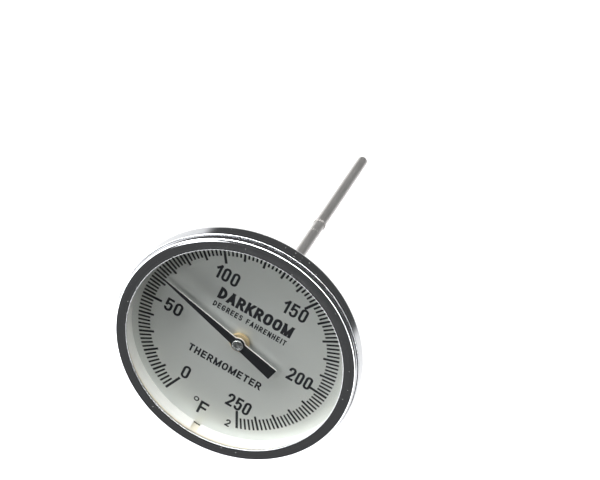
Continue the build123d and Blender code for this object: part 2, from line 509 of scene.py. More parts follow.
CASE_STEEL = TurnedMetal("spun_case_steel", colour(0.52, 0.53, 0.55), 0.13, speck_share=0.3)
BEZEL_STEEL = TurnedMetal(
    "polished_bezel_steel", colour(0.54, 0.55, 0.57), 0.12, ring_spacing=0.3, ring_strength=0.16
)
STEM_STEEL = TurnedMetal(
    "ground_stem_steel", colour(0.60, 0.585, 0.57), 0.42, ring_spacing=0.3, metallic=0.94
)
HUB_STEEL = TurnedMetal("turned_hub_steel", colour(0.60, 0.61, 0.62), 0.25, ring_strength=0.2)
SPINDLE_STEEL = TurnedMetal("spindle_steel", colour(0.45, 0.45, 0.47), 0.32)
# The pointer's bare sheared side: real bare metal, but coloured near white and nearly non-metallic as a
# painted highlight for the bright line the edge reflects.
BARE_EDGE_AND_PAINTED_HIGHLIGHT = TurnedMetal("sheared_edge_painted_highlight", colour(0.93, 0.93, 0.92), 0.42, metallic=0.15)
BRASS = TurnedMetal(
    "turned_brass", colour(0.90, 0.68, 0.42), 0.34, ring_strength=0.25, metallic=0.7
)
BRONZE = TurnedMetal("bearing_bronze", colour(0.66, 0.42, 0.24), 0.36)
STRIP_METAL = TurnedMetal("bimetal_strip", colour(0.55, 0.53, 0.49), 0.34, ring_spacing=0.4)
DIAL_SILVER = SatinSilver(
    "satin_silver_dial",
    colour(0.80, 0.825, 0.81),
    0.45,
    (
        Scratch(-27.4, -8.7, math.radians(80), 14.2, 0.1),
        Scratch(-23.0, -12.6, math.radians(116), 2.3, 0.2),
        Scratch(14.0, -8.0, math.radians(70), 6.0, 0.05),
        Scratch(6.0, 27.0, math.radians(100), 8.0, 0.05),
    ),
    ((-18.5, -18.5, 5.5), (5.6, -31.5, 3.5), (20.0, 9.0, 4.0)),
)
INK = PrintedInk("dial_ink", colour(0.022, 0.023, 0.028))
POINTER_BLACK = PrintedInk("pointer_enamel", colour(0.016, 0.017, 0.02), 0.4, 0.25)
GLASS = ClearGlass("window_glass")
CREAM_RUBBER = MouldedRubber("cream_gasket", colour(0.90, 0.85, 0.74), colour(0.86, 0.80, 0.68))
BLACK_RUBBER = MouldedRubber("black_seal", colour(0.03, 0.03, 0.032), colour(0.018, 0.018, 0.02))
WHITE_ENAMEL = MouldedRubber(
    "white_spacer", colour(0.93, 0.925, 0.90), colour(0.90, 0.895, 0.87), 0.4
)
WELD = WeldBead("weld_heat_tint")
PAPER = FloorPaper("floor_paper", colour(0.93, 0.93, 0.93))


# Shapes


@dataclass(frozen=True)
class Outline:
    """Points along a line in a plane, with the outward normal at each."""

    points: np.ndarray
    normals: np.ndarray
    closed: bool


def rounded(corners: Corners, closed: bool = True, steps: int = 5) -> Outline:
    """Rounds each corner of a line with a tangent arc.

    The arc of a corner starts before it by its radius times the tangent of half the turn.
    Its points lie one radius from its centre, along a normal that swings evenly from that
    of the edge before the corner to that of the edge after it. A closed line runs
    anticlockwise round its shape, so that its normals, to the right of it, point outwards.

    Args:
        corners: Two coordinates and a radius for each corner.
        closed: Whether the line comes back to its start.
        steps: Points along each arc, less one.

    Returns:
        The rounded line.
    """
    table = np.asarray(corners, dtype=float)
    places, radii = table[:, :2], table[:, 2]
    arriving = places - np.roll(places, 1, axis=0)
    leaving = np.roll(places, -1, axis=0) - places
    if not closed:
        arriving[0], leaving[-1] = leaving[0], arriving[-1]
    arriving /= np.linalg.norm(arriving, axis=1, keepdims=True)
    leaving /= np.linalg.norm(leaving, axis=1, keepdims=True)
    swing = np.arctan2(
        arriving[:, 0] * leaving[:, 1] - arriving[:, 1] * leaving[:, 0],
        (arriving * leaving).sum(axis=1),
    )
    heading = np.arctan2(-arriving[:, 0], arriving[:, 1])
    angle = heading[:, None] + swing[:, None] * np.linspace(0, 1, steps + 1)
    normals = np.stack([np.cos(angle), np.sin(angle)], axis=-1)
    signed = np.sign(swing) * radii
    start = places - arriving * (radii * np.tan(np.abs(swing) / 2))[:, None]
    centre = start - normals[:, 0] * signed[:, None]
    points = centre[:, None] + normals * signed[:, None, None]
    points, normals = points.reshape(-1, 2), normals.reshape(-1, 2)
    apart = np.linalg.norm(np.diff(points, axis=0, prepend=points[:1] - 1), axis=1) > 1e-7
    return Outline(points[apart], normals[apart], closed)


def grid_faces(rows: int, columns: int, close_rows: bool, close_columns: bool) -> np.ndarray:
    """Quads over a grid of points numbered row by row.

    Args:
        rows: Points in each column.
        columns: Points in each row.
        close_rows: Whether the last row joins the first.
        close_columns: Whether the last column joins the first.

    Returns:
        Four point numbers for each quad.
    """
    i = np.arange(rows if close_rows else rows - 1)[:, None]
    j = np.arange(columns if close_columns else columns - 1)[None, :]
    low, high = i * columns, (i + 1) % rows * columns
    right = (j + 1) % columns
    return np.stack([low + j, low + right, high + right, high + j], axis=-1).reshape(-1, 4)


def tube_faces(section: int, length: int, first: int = 0, capped: bool = True) -> list[list[int]]:
    """Faces of a closed section carried along a line.

    Args:
        section: Points of the section.
        length: Points along the line.
        first: The number of the first point.
        capped: Whether the ends are capped, or joined to each other.

    Returns:
        Point numbers of each face.
    """
    faces = (grid_faces(section, length, True, not capped) + first).tolist()
    if capped:
        start = np.arange(section) * length + first
        faces += [start.tolist(), (start[::-1] + length - 1).tolist()]
    return faces


def swept(pairs: np.ndarray, angle: np.ndarray) -> np.ndarray:
    """Carries pairs of radius and height round the axis.

    x is the radius times the cosine of the angle, and y the radius times its sine.

    Args:
        pairs: Radius and height of each point of a line.
        angle: Angles round the axis.

    Returns:
        Points, row by row, with a row for each pair.
    """
    flat = pairs[:, None, :1] * np.stack([np.cos(angle), np.sin(angle)], axis=-1)
    up = np.broadcast_to(pairs[:, None, 1:], (*flat.shape[:2], 1))
    return np.concatenate([flat, up], axis=-1).reshape(-1, 3)


@dataclass(frozen=True)
class Dress:
    """A new piece's slot, the nodes it stands for, its finishes and its body."""

    slot: str
    replaces: tuple[str, ...]
    finishes: tuple[Finish, ...]
    body: str = CASE_BODY


def make_piece(
    name: str,
    points: np.ndarray,
    faces: list[list[int]],
    dress: Dress,
    normals: np.ndarray | None = None,
    finish_of_face: np.ndarray | None = None,
    crease: float = 30.0,
) -> bpy.types.Object:
    """Writes a mesh and dresses it.

    Args:
        name: The piece's name.
        points: Vertices in millimetres.
        faces: Vertex numbers of each face, outward face anticlockwise.
        dress: Body, slot, replaced nodes and finishes.
        normals: A shading normal for each vertex, or None to shade by angle.
        finish_of_face: The number of each face's finish, or None for the first.
        crease: Angle in degrees above which an edge is sharp, without normals.

    Returns:
        The piece.
    """
    mesh = bpy.data.meshes.new(name)
    mesh.from_pydata((points * MM).tolist(), [], faces)
    for finish in dress.finishes:
        mesh.materials.append(finish.material())
    if finish_of_face is not None:
        mesh.polygons.foreach_set("material_index", finish_of_face.astype(np.int32))
    mesh.polygons.foreach_set("use_smooth", np.ones(len(mesh.polygons), dtype=bool))
    if normals is None:
        mesh.set_sharp_from_angle(angle=math.radians(crease))
    else:
        mesh.normals_split_custom_set_from_vertices(normals.tolist())
    mesh.update()
    piece = bpy.data.objects.new(name, mesh)
    bpy.context.scene.collection.objects.link(piece)
    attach(piece, dress.body)
    if dress.replaces:
        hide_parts(*dress.replaces)
    log.info("%s: %d faces", name, len(faces))
    return piece


def turned_piece(
    name: str, corners: Corners, dress: Dress, steps: int = 5, sides: int = 288, closed: bool = True
) -> bpy.types.Object:
    """A solid of revolution, from the rounded corners of its section.

    An open section starts and ends on the axis, where its ends become poles.

    Args:
        name: The piece's name.
        corners: Radius, height and rounding of each corner, anticlockwise.
        dress: Slot, replaced nodes, finishes and body.
        steps: Points along each rounding, less one.
        sides: Points round the axis.
        closed: Whether the section comes back to its start.

    Returns:
        The piece.
    """
    outline = rounded(corners, closed, steps)
    angle = np.arange(sides) * FULL_TURN / sides
    inner = slice(None) if closed else slice(1, -1)
    line = outline.points[inner]
    points, normals = swept(line, angle), swept(outline.normals[inner], angle)
    faces = grid_faces(len(line), sides, closed, True).tolist()
    if not closed:
        first, last = len(points), len(points) + 1
        ends = outline.points[[0, -1], 1]
        points = np.concatenate([points, [[0, 0, ends[0]], [0, 0, ends[1]]]])
        normals = np.concatenate([normals, [[0, 0, -1], [0, 0, 1]]])
        here = np.arange(sides)
        after = (here + 1) % sides
        top = (len(line) - 1) * sides
        faces += np.stack([np.full(sides, first), after, here], axis=-1).tolist()
        faces += np.stack([top + here, top + after, np.full(sides, last)], axis=-1).tolist()
    return make_piece(name, points, faces, dress, normals)


@dataclass(frozen=True)
class Reach:
    """The outer radius, lowest level and highest level of a frame node, in millimetres."""

    radius: float
    bottom: float
    top: float

    @classmethod
    def of(cls, node: str) -> "Reach":
        """Reads a node's box."""
        low, high = (Vector(corner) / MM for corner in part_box(node))
        return cls(high.x, low.z, high.z)


def ring_corners(inner: float, outer: float, bottom: float, top: float, edge: float) -> Corners:
    """The corners of a plain ring's section, all with one rounding."""
    return [(inner, bottom, edge), (outer, bottom, edge), (outer, top, edge), (inner, top, edge)]


# Lettering


class End(Enum):
    """How the ends of a stroke are cut."""

    SQUARE = "carried on by half its width"
    BUTT = "cut where it ends"
    LEVEL = "cut level with the line of writing"
    JOINED = "joined to its own start"


@dataclass(frozen=True)
class Stroke:
    """One stroke of a letter, in a cell one wide and one high, with a rounding for each corner."""

    corners: tuple[tuple[float, float, float], ...]
    end: End = End.SQUARE


def bar(x0: float, y0: float, x1: float, y1: float, end: End = End.SQUARE) -> Stroke:
    """A straight stroke between two points of the cell."""
    return Stroke(((x0, y0, 0.0), (x1, y1, 0.0)), end)


STEM_BAR = bar(0, 0, 0, 1)
PRINT_STAGGER = 0.004
BOWL = 9.0  # more than any cell allows, so the corner takes all the rounding that fits

HOOP = Stroke(((0, 0, BOWL), (1, 0, BOWL), (1, 1, BOWL), (0, 1, BOWL)), End.JOINED)
RIGHT_BAR = bar(1, 0, 1, 1)
TOP_BAR = bar(0, 1, 1, 1)
TWO = ((0, 0.7, 0), (0, 1, BOWL), (1, 1, BOWL), (1, 0.6, 0.3), (0.02, 0.0, 0))
FIVE = ((0.04, 0.54, 0), (0.3, 0.62, 0.2), (1, 0.62, BOWL), (1, 0, BOWL), (0, 0, BOWL), (0, 0.24, 0))
GEE = ((1, 0.76, 0), (1, 1, BOWL), (0, 1, BOWL), (0, 0, BOWL), (1, 0, BOWL), (1, 0.45, 0))
ESS_TOP = ((1, 0.78, 0), (1, 1, BOWL), (0, 1, BOWL), (0, 0.52, BOWL))
ESS = (*ESS_TOP, (1, 0.52, BOWL), (1, 0, BOWL), (0, 0, BOWL), (0, 0.22, 0))
DEE = ((0, 0, 0), (1, 0, BOWL), (1, 1, BOWL), (0, 1, 0))
ARR = ((0, 0.46, 0), (0.95, 0.46, BOWL), (0.95, 1, BOWL), (0, 1, 0))
LEVEL = End.LEVEL

# For each letter, its relative width and its strokes.
LETTERS: dict[str, tuple[float, tuple[Stroke, ...]]] = {
    "0": (1.0, (HOOP,)),
    "1": (0.62, (RIGHT_BAR, bar(1, 0.97, 0.05, 0.74))),
    "2": (1.0, (Stroke(TWO, End.BUTT), bar(0, 0, 1, 0))),
    "5": (1.0, (bar(0.08, 1, 0.94, 1), bar(0.08, 1, 0.04, 0.5), Stroke(FIVE, End.BUTT))),
    "A": (1.12, (bar(0, 0, 0.5, 1, LEVEL), bar(1, 0, 0.5, 1, LEVEL), bar(0.2, 0.25, 0.8, 0.25, End.BUTT))),
    "D": (1.05, (STEM_BAR, Stroke(DEE))),
    "E": (0.9, (STEM_BAR, bar(0, 0, 1, 0), TOP_BAR, bar(0, 0.52, 0.9, 0.52))),
    "F": (0.88, (STEM_BAR, TOP_BAR, bar(0, 0.5, 0.86, 0.5))),
    "G": (1.1, (Stroke(GEE, End.BUTT), bar(0.6, 0.45, 1, 0.45))),
    "H": (1.02, (STEM_BAR, RIGHT_BAR, bar(0, 0.5, 1, 0.5))),
    "I": (0.0, (STEM_BAR,)),
    "K": (1.05, (STEM_BAR, bar(0.1, 0.28, 0.95, 1, LEVEL), bar(0.34, 0.58, 1, 0, LEVEL))),
    "M": (1.5, (STEM_BAR, RIGHT_BAR, bar(0, 1, 0.5, 0, LEVEL), bar(1, 1, 0.5, 0, LEVEL))),
    "N": (1.02, (STEM_BAR, RIGHT_BAR, bar(0, 1, 1, 0, LEVEL))),
    "O": (1.12, (HOOP,)),
    "R": (1.05, (STEM_BAR, Stroke(ARR), bar(0.5, 0.46, 1, 0, LEVEL))),
    "S": (1.0, (Stroke(ESS, End.BUTT),)),
    "T": (0.95, (bar(0.5, 0, 0.5, 1), TOP_BAR)),
    " ": (0.35, ()),
}


@dataclass(frozen=True)
class Writing:
    """A line of lettering on the dial: text, centre, width and height of its box, and stroke."""

    text: str
    x: float
    y: float
    width: float
    height: float
    stroke: float
    gap: float = 0.26

    def strokes(self) -> list[Edges]:
        """Lays the letters out.

        Cells share what the gaps leave of the width by their relative widths, and a letter's
        strokes run through its cell less half a stroke at each side.

        Returns:
            For each stroke its left edge and its right edge, point by point, and whether it
            is joined to its own start.
        """
        shares = [LETTERS[letter][0] for letter in self.text]
        gap = self.gap * self.height
        room = self.width - gap * (len(self.text) - 1) - self.stroke * len(self.text)
        unit = room / sum(shares)
        left = self.x - self.width / 2
        rise = self.height - self.stroke
        edges = []
        for letter, share in zip(self.text, shares):
            across = share * unit
            origin = (left + self.stroke / 2, self.y - rise / 2)
            edges += [self.edges_of(stroke, origin, across, rise) for stroke in LETTERS[letter][1]]
            left += across + self.stroke + gap
        return edges

    def edges_of(
        self, stroke: Stroke, origin: tuple[float, float], across: float, rise: float
    ) -> Edges:
        """Gives a stroke its width.

        Its middle line is rounded at each corner by as much as half the shorter of the two
        edges there allows, and its edges stand off by half the stroke along the line's
        normals, or along the line of writing for a stroke with level ends.

        Args:
            stroke: The stroke in its cell.
            origin: The cell's lower left corner.
            across: The cell's width.
            rise: The cell's height.

        Returns:
            The left edge, the right edge and whether the stroke is joined to its own start.
        """
        table = np.array(stroke.corners, dtype=float)
        places = table[:, :2] * (across, rise) + origin
        joined = stroke.end is End.JOINED
        before = np.linalg.norm(places - np.roll(places, 1, axis=0), axis=1)
        after = np.roll(before, -1)
        shared = np.minimum(before, after) / 2
        if not joined:
            shared[[0, -1]] = 0
            if len(places) > 2:
                shared[1] = min(before[1], after[1] / 2)
                shared[-2] = min(before[-2] / 2, after[-2])
        radii = np.minimum(table[:, 2] * rise, shared)
        if stroke.end is End.SQUARE:
            first, last = places[0] - places[1], places[-1] - places[-2]
            places[0] += first / np.linalg.norm(first) * self.stroke / 2
            places[-1] += last / np.linalg.norm(last) * self.stroke / 2
        if stroke.end is End.LEVEL:
            lean = places[1] - places[0]
            half = self.stroke / 2
            for end, side in ((0, -1), (1, 1)):
                if np.isclose(table[end, 1], (0, 1)).any():
                    places[end] += side * lean * half / abs(lean[1])
            aside = np.array([half * np.linalg.norm(lean) / abs(lean[1]), 0.0]) * np.sign(lean[1])
            return places - aside, places + aside, False
        line = rounded(np.column_stack([places, radii]).tolist(), joined, 6)
        aside = line.normals * self.stroke / 2
        return line.points - aside, line.points + aside, joined


def raised_strokes(strokes: list[Edges], low: float, high: float) -> tuple[np.ndarray, list[list[int]]]:
    """Makes thin closed bars from pairs of edges.

    A rectangle with its corners on the right and left edge, at the low and the high level,
    is carried along the stroke; an open stroke is capped at both ends. Each of four bars in
    turn is a few micrometres higher, so that crossing bars don't share a surface.

    Args:
        strokes: Left edge, right edge and whether the stroke is joined to its own start.
        low: The level of the underside.
        high: The level of the top.

    Returns:
        Vertices and faces of all the bars.
    """
    points, faces, count = [], [], 0
    for number, (left, right, joined) in enumerate(strokes):
        top = high + number % 4 * PRINT_STAGGER
        sides = [(right, low), (right, top), (left, top), (left, low)]
        points += [np.column_stack([edge, np.full(len(edge), z)]) for edge, z in sides]
        faces += tube_faces(4, len(left), count, not joined)
        count += 4 * len(left)
    return np.concatenate(points), faces


# Assemblies


@dataclass(frozen=True)
class Case:
    """The drawn case, its bezel, glass, gasket, spacer and seal."""

    wall: float = 0.7
    shoulder: float = 3.0
    dish_rim: float = 34.0
    dish_flat: float = 14.0
    dish_blend: float = 2.0
    hole: float = 4.6
    neck_outer: float = 41.7
    step_level: float = 10.7
    step_round: float = 0.56
    bezel_opening: float = 38.1
    bezel_shoulder: float = 1.7
    bezel_seat: float = 0.8
    bezel_rest: float = 0.15
    skirt_play: float = 0.05
    skirt_round: float = 0.22
    face_start: float = 0.04
    face_round: float = 0.3
    lip: float = 0.7
    lip_round: float = 0.28
    lens_chamfer: float = 0.3
    spacer_cover: float = 0.55
    spacer_gap: float = 2.7
    spacer_steps: int = 361

    @property
    def inside(self) -> float:
        """The inner radius of the spacer and of the gasket's flange."""
        return Reach.of("dial_plate").radius - self.spacer_cover

    def build(self) -> None:
        """Makes every piece of the case."""
        for make in (self.cup, self.bezel, self.glass, self.gasket, self.spacer, self.seal):
            make()

    def cup(self) -> None:
        """Turns the case: flat and dished back, rounded shoulder, wall, step and neck."""
        shell, ledge = Reach.of("case_shell"), Reach.of("dial_plate").bottom
        outer, top, neck, step = shell.radius, shell.top, self.neck_outer, self.step_level
        wall, blend = self.wall, self.dish_blend
        dish = ledge - wall
        corners = [
            (self.hole, 0, CRISP), (self.dish_flat, 0, blend), (self.dish_rim, dish, blend),
            (outer, dish, self.shoulder), (outer, step, self.step_round), (neck, step, CRISP),
            (neck, top, EASED), (neck - wall, top, EASED), (neck - wall, step - wall, CRISP),
            (outer - wall, step - wall, EASED), (outer - wall, ledge, self.shoulder - wall),
            (self.dish_rim, ledge, blend), (self.dish_flat, wall, blend), (self.hole, wall, CRISP),
        ]
        turned_piece("case_cup", corners, Dress("case_steel", ("case_shell",), (CASE_STEEL,)), 8, 360)

    def bezel(self) -> None:
        """Turns the bezel: skirt, rounded shoulder and a face that slopes in to the lip."""
        ring, pane = Reach.of("bezel_ring"), Reach.of("lens").top
        rest, skirt = Reach.of("case_shell").top + self.bezel_rest, self.neck_outer + self.skirt_play
        neck = self.neck_outer - self.wall
        corners = [
            (self.bezel_opening, pane, BROKEN), (neck - self.bezel_seat, pane, CRISP),
            (neck, rest, CRISP), (skirt, rest, CRISP), (skirt, ring.bottom, BROKEN),
            (ring.radius, ring.bottom, self.skirt_round),
            (ring.radius, ring.top, self.bezel_shoulder),
            (ring.radius - self.bezel_shoulder - self.face_start, ring.top, self.face_round),
            (self.bezel_opening, pane + self.lip, self.lip_round),
        ]
        turned_piece("bezel", corners, Dress("bezel_steel", ("bezel_ring",), (BEZEL_STEEL,)), 10, 360)

    def glass(self) -> None:
        """Turns the pane, with a small chamfer at each edge."""
        pane, cut = Reach.of("lens"), self.lens_chamfer
        corners = [
            (0, pane.bottom, 0), (pane.radius - cut, pane.bottom, CRISP),
            (pane.radius, pane.bottom + cut, CRISP), (pane.radius, pane.top - cut, CRISP),
            (pane.radius - cut, pane.top, CRISP), (0, pane.top, 0),
        ]
        turned_piece("glass", corners, Dress("lens_glass", ("lens",), (GLASS,)), 3, closed=False)

    def gasket(self) -> None:
        """Turns the gasket: a sleeve in the neck, with a flange between spacer and glass."""
        sleeve, pane, flange = Reach.of("lens_gasket"), Reach.of("lens"), self.inside
        under = Reach.of("spacer_ring").top
        corners = [
            (pane.radius, sleeve.bottom, CRISP), (sleeve.radius, sleeve.bottom, CRISP),
            (sleeve.radius, sleeve.top, CRISP), (pane.radius, sleeve.top, CRISP),
            (pane.radius, pane.bottom, KNIFE), (flange, pane.bottom, SOFT), (flange, under, SOFT),
            (pane.radius, under, KNIFE),
        ]
        dress = Dress("gasket_rubber", ("lens_gasket",), (CREAM_RUBBER,))
        turned_piece("glass_gasket", corners, dress, 3)

    def spacer(self) -> None:
        """Bends the spacer: its section carried round all but the gap at 6 o'clock."""
        hoop = Reach.of("spacer_ring")
        section = rounded(ring_corners(self.inside, hoop.radius, hoop.bottom, hoop.top, EASED), steps=3)
        half_gap = math.asin(self.spacer_gap / 2 / hoop.radius)
        angle = np.linspace(half_gap, FULL_TURN - half_gap, self.spacer_steps) - math.pi / 2
        dress = Dress("spacer_finish", ("spacer_ring",), (WHITE_ENAMEL,))
        faces = tube_faces(len(section.points), len(angle))
        make_piece("spacer_hoop", swept(section.points, angle), faces, dress)

    def seal(self) -> None:
        """Turns the seal in the groove under the bezel."""
        seal = Reach.of("bezel_seal")
        corners = ring_corners(self.neck_outer, seal.radius, seal.bottom, seal.top, KEEN)
        turned_piece("rim_seal", corners, Dress("seal_rubber", ("bezel_seal",), (BLACK_RUBBER,)), 3)


@dataclass(frozen=True)
class Scale:
    """The printed scale: its sweep, divisions and line lengths, and how far off true it is."""

    half_sweep: float = 156.56
    turn: float = 0.2
    centre: tuple[float, float] = (-1.2, -0.16)
    divisions: int = 125
    outer: float = 35.8
    step_inner: float = 31.46
    ten_inner: float = 30.22
    fifty_inner: float = 28.6
    step_width: float = 0.68
    ten_width: float = 0.8
    fifty_width: float = 0.92

    def strokes(self) -> list[Edges]:
        """Places the lines evenly round the sweep.

        A line at heading h runs along (sin h, cos h) from its inner to its outer radius, and
        its edges stand off by half its width along (cos h, minus sin h).

        Returns:
            Left edge, right edge and False for each line.
        """
        number = np.arange(self.divisions + 1)
        sweep = np.linspace(-self.half_sweep, self.half_sweep, len(number))
        heading = np.radians(sweep + self.turn)
        ten, fifty = number % 5 == 0, number % 25 == 0
        inner = np.select([fifty, ten], [self.fifty_inner, self.ten_inner], self.step_inner)
        width = np.select([fifty, ten], [self.fifty_width, self.ten_width], self.step_width)
        along = np.stack([np.sin(heading), np.cos(heading)], axis=-1)
        aside = np.stack([np.cos(heading), -np.sin(heading)], axis=-1) * width[:, None] / 2
        ends = np.stack([along * inner[:, None], along * self.outer], axis=1) + self.centre
        left, right = ends - aside[:, None], ends + aside[:, None]
        return [(left[k], right[k], False) for k in number]


@dataclass(frozen=True)
class Dial:
    """The dial plate with its scale and lettering."""

    hole: float = 1.6
    print_sink: float = 0.02
    print_height: float = 0.02
    scale: Scale = Scale()
    writing: tuple[Writing, ...] = (
        Writing("0", -11.64, -22.97, 2.85, 5.45, 0.88),
        Writing("50", -25.3, -1.68, 6.4, 5.2, 0.88, 0.13),
        Writing("100", -13.9, 20.4, 8.7, 5.35, 0.88, 0.13),
        Writing("150", 11.4, 21.5, 8.9, 5.4, 0.88, 0.13),
        Writing("200", 23.5, -1.24, 8.95, 5.3, 0.88, 0.11),
        Writing("250", 9.6, -23.6, 9.0, 5.45, 0.88, 0.11),
        Writing("DARKROOM", 0.1, 13.2, 27.9, 4.66, 1.08, 0.1),
        Writing("DEGREES FAHRENHEIT", -0.1, 8.3, 27.8, 2.2, 0.42, 0.2),
        Writing("THERMOMETER", -0.7, -12.5, 28.25, 3.05, 0.62, 0.17),
        Writing("0", -4.2, -30.6, 2.0, 2.0, 0.46),
        Writing("F", -0.75, -32.9, 3.3, 5.5, 0.95),
        Writing("2", 9.3, -33.0, 1.8, 3.1, 0.58),
    )

    def build(self) -> None:
        """Makes the plate and its printing."""
        plate = Reach.of("dial_plate")
        corners = ring_corners(self.hole, plate.radius, plate.bottom, plate.top, FINE)
        turned_piece("dial_face", corners, Dress("dial_face", ("dial_plate",), (DIAL_SILVER,)), 3)
        self.printed("scale_lines", self.scale.strokes(), plate.top)
        lettering = [stroke for line in self.writing for stroke in line.strokes()]
        self.printed("dial_lettering", lettering, plate.top)

    def printed(self, name: str, strokes: list[Edges], level: float) -> None:
        """Prints strokes on the plate as a thin raised layer.

        Args:
            name: The layer's name.
            strokes: Left edge, right edge and whether each is joined to its own start.
            level: The plate's upper face.
        """
        points, faces = raised_strokes(strokes, level - self.print_sink, level + self.print_height)
        make_piece(name, points, faces, Dress("pointer_black", (), (INK,)))


@dataclass(frozen=True)
class Pointer:
    """The pointer, the brass bush under it, its hub and the end of the spindle."""

    half_sweep: float = 156.7
    scale_top: float = 250.0
    reading: float = 64.5
    disc: float = 2.5
    reach: float = 33.5
    tail: float = 15.4
    root_width: float = 3.1
    tip_width: float = 0.4
    tail_root: float = 3.2
    tail_end: float = 4.6
    paint_over: float = 0.22
    bevel: float = 0.05
    past_root: float = 0.02
    shank: float = 1.1
    hub_round: float = 0.35
    recess: float = 1.3
    spindle: float = 0.6
    dimple: float = 0.32
    ridge: float = 3.5
    groove: float = 3.0
    ridge_height: float = 0.5
    groove_height: float = 0.2
    neck: float = 2.2
    teeth: int = 24
    tooth_steps: int = 12
    tooth_depth: float = 0.28

    @property
    def heading(self) -> float:
        """The pointer's heading at rest, in radians."""
        share = self.reading / self.scale_top
        return math.radians(share * 2 * self.half_sweep - self.half_sweep)

    def build(self) -> None:
        """Makes the blade, hub, bush and spindle."""
        for make in (self.blade, self.hub, self.bush, self.shaft):
            make()

    def radius_at(self, angle: np.ndarray) -> np.ndarray:
        """The blade's outer edge as a radius about the hub.

        Needle and tail are each a wedge cut off square: along their own axis the edge is
        where a line reaches the tapering side or the end, whichever comes first, and the
        disc is the least that the radius may be.

        Args:
            angle: Directions from the needle's axis, clockwise, in radians.

        Returns:
            A radius for each direction.
        """
        ahead, aside = np.cos(angle), np.abs(np.sin(angle)) + 1e-12

        def wedge(along: np.ndarray, root: float, end: float, length: float) -> np.ndarray:
            """Radius of a wedge with these half widths at the axis and at its end."""
            side = root / np.maximum(aside - (end - root) / length * along, 1e-9)
            square = length / np.maximum(along, 1e-9)
            return np.where(along > 0, np.minimum(side, square), 0.0)

        needle = wedge(ahead, self.root_width / 2, self.tip_width / 2, self.reach)
        tail = wedge(-ahead, self.tail_root / 2, self.tail_end / 2, self.tail)
        return np.maximum(np.maximum(needle, tail), self.disc)

    def blade(self) -> None:
        """Cuts the blade from sheet.

        Its edge is read at directions crowded round the corners of needle and tail, and a
        section with the shank's hole and a broken top edge is carried round. Paint runs a
        little way down the side, and the rest of the side is bare metal, coloured near white
        and nearly non-metallic as a painted highlight.
        """
        sheet = Reach.of("pointer")
        low, high = sheet.bottom, sheet.top
        tip = math.atan2(self.tip_width / 2, self.reach)
        root = math.acos(min(1.0, self.root_width / 2 / self.disc))
        needle_root = math.pi / 2 - root
        heel = math.atan2(self.tail_end / 2, self.tail)
        tail_root = math.asin(min(1.0, self.tail_root / 2 / self.disc)) + 0.05
        disc_from, disc_to = needle_root + self.past_root, tail_root + self.past_root
        runs = [
            np.linspace(0, tip, 3),
            np.geomspace(tip, disc_from, 24),
            np.linspace(disc_from, math.pi - tail_root - self.past_root, 24),
            math.pi - np.geomspace(heel, disc_to, 16),
            math.pi - np.linspace(0, heel, 5),
        ]
        half = np.unique(np.concatenate(runs))
        angle = np.concatenate([half, -half[1:-1][::-1]])
        radius = self.radius_at(angle)
        compass = angle + self.heading
        spoke = np.stack([np.sin(compass), np.cos(compass)], axis=-1)
        edge = spoke * radius[:, None]
        run = np.roll(edge, -1, axis=0) - np.roll(edge, 1, axis=0)
        outward = np.stack([-run[:, 1], run[:, 0]], axis=-1)
        outward /= np.linalg.norm(outward, axis=1, keepdims=True)
        inner = spoke * self.shank
        rows = [
            (inner, low),
            (inner, high),
            (edge - outward * self.bevel, high),
            (edge, high - self.bevel),
            (edge, high - self.paint_over),
            (edge, low),
        ]
        points = np.concatenate([np.column_stack([line, np.full(len(line), z)]) for line, z in rows])
        count = len(angle)
        faces = grid_faces(len(rows), count, True, True).tolist()
        finish = np.zeros((len(rows), count), dtype=int)
        # The bare lower side takes the second finish, coloured near white as a painted highlight.
        finish[len(rows) - 2] = 1
        dress = Dress("pointer_black", ("pointer",), (POINTER_BLACK, BARE_EDGE_AND_PAINTED_HIGHLIGHT), MOVING_BODY)
        make_piece("pointer_blade", points, faces, dress, finish_of_face=finish.ravel())

    def hub(self) -> None:
        """Turns the hub: a shank, a cap with a rounded rim, and a shallow recess."""
        cap, seat = Reach.of("pointer_hub"), Reach.of("pointer").top
        floor = Reach.of("spindle_shaft").top
        corners = [
            (self.spindle, cap.bottom, FINE), (self.shank, cap.bottom, FINE),
            (self.shank, seat, KEEN), (cap.radius, seat, PLAIN),
            (cap.radius, cap.top, self.hub_round), (self.recess, cap.top, PLAIN),
            (self.recess, floor, PLAIN), (self.spindle, floor, KEEN),
        ]
        dress = Dress("bezel_steel", ("pointer_hub",), (HUB_STEEL,), MOVING_BODY)
        turned_piece("pointer_cap", corners, dress, 8, 128)

    def bush(self) -> None:
        """Turns and knurls the bush.

        The section goes round the axis, and on the two ridges its outer radius is less by
        the depth of a tooth times a rounded wave with one dip for each tooth.
        """
        bush, step = Reach.of("pointer_bush"), self.ridge_height
        low, high, second = bush.bottom, bush.top, bush.bottom + step + self.groove_height
        corners = [
            (self.spindle, low, FINE), (self.ridge, low, BROKEN), (self.ridge, low + step, BROKEN),
            (self.groove, low + step, KEEN), (self.groove, second, KEEN),
            (self.ridge, second, BROKEN), (self.ridge, second + step, BROKEN),
            (self.neck, second + step, FINE), (self.neck, high, FINE), (self.spindle, high, FINE),
        ]
        section = rounded(corners, steps=4).points
        sides = self.teeth * self.tooth_steps
        angle = np.arange(sides) * FULL_TURN / sides
        dip = np.maximum(0.0, np.cos(angle * self.teeth)) ** 2 * self.tooth_depth
        ridged = np.clip((section[:, 0] - self.groove) / (self.ridge - self.groove), 0, 1)
        radius = section[:, :1] - ridged[:, None] * dip
        rise = np.broadcast_to(section[:, 1:], radius.shape)
        points = np.stack([radius * np.cos(angle), radius * np.sin(angle), rise], axis=-1)
        faces = grid_faces(len(section), sides, True, True).tolist()
        dress = Dress("turned_brass", ("pointer_bush",), (BRASS,), MOVING_BODY)
        make_piece("pointer_knurl", points.reshape(-1, 3), faces, dress)

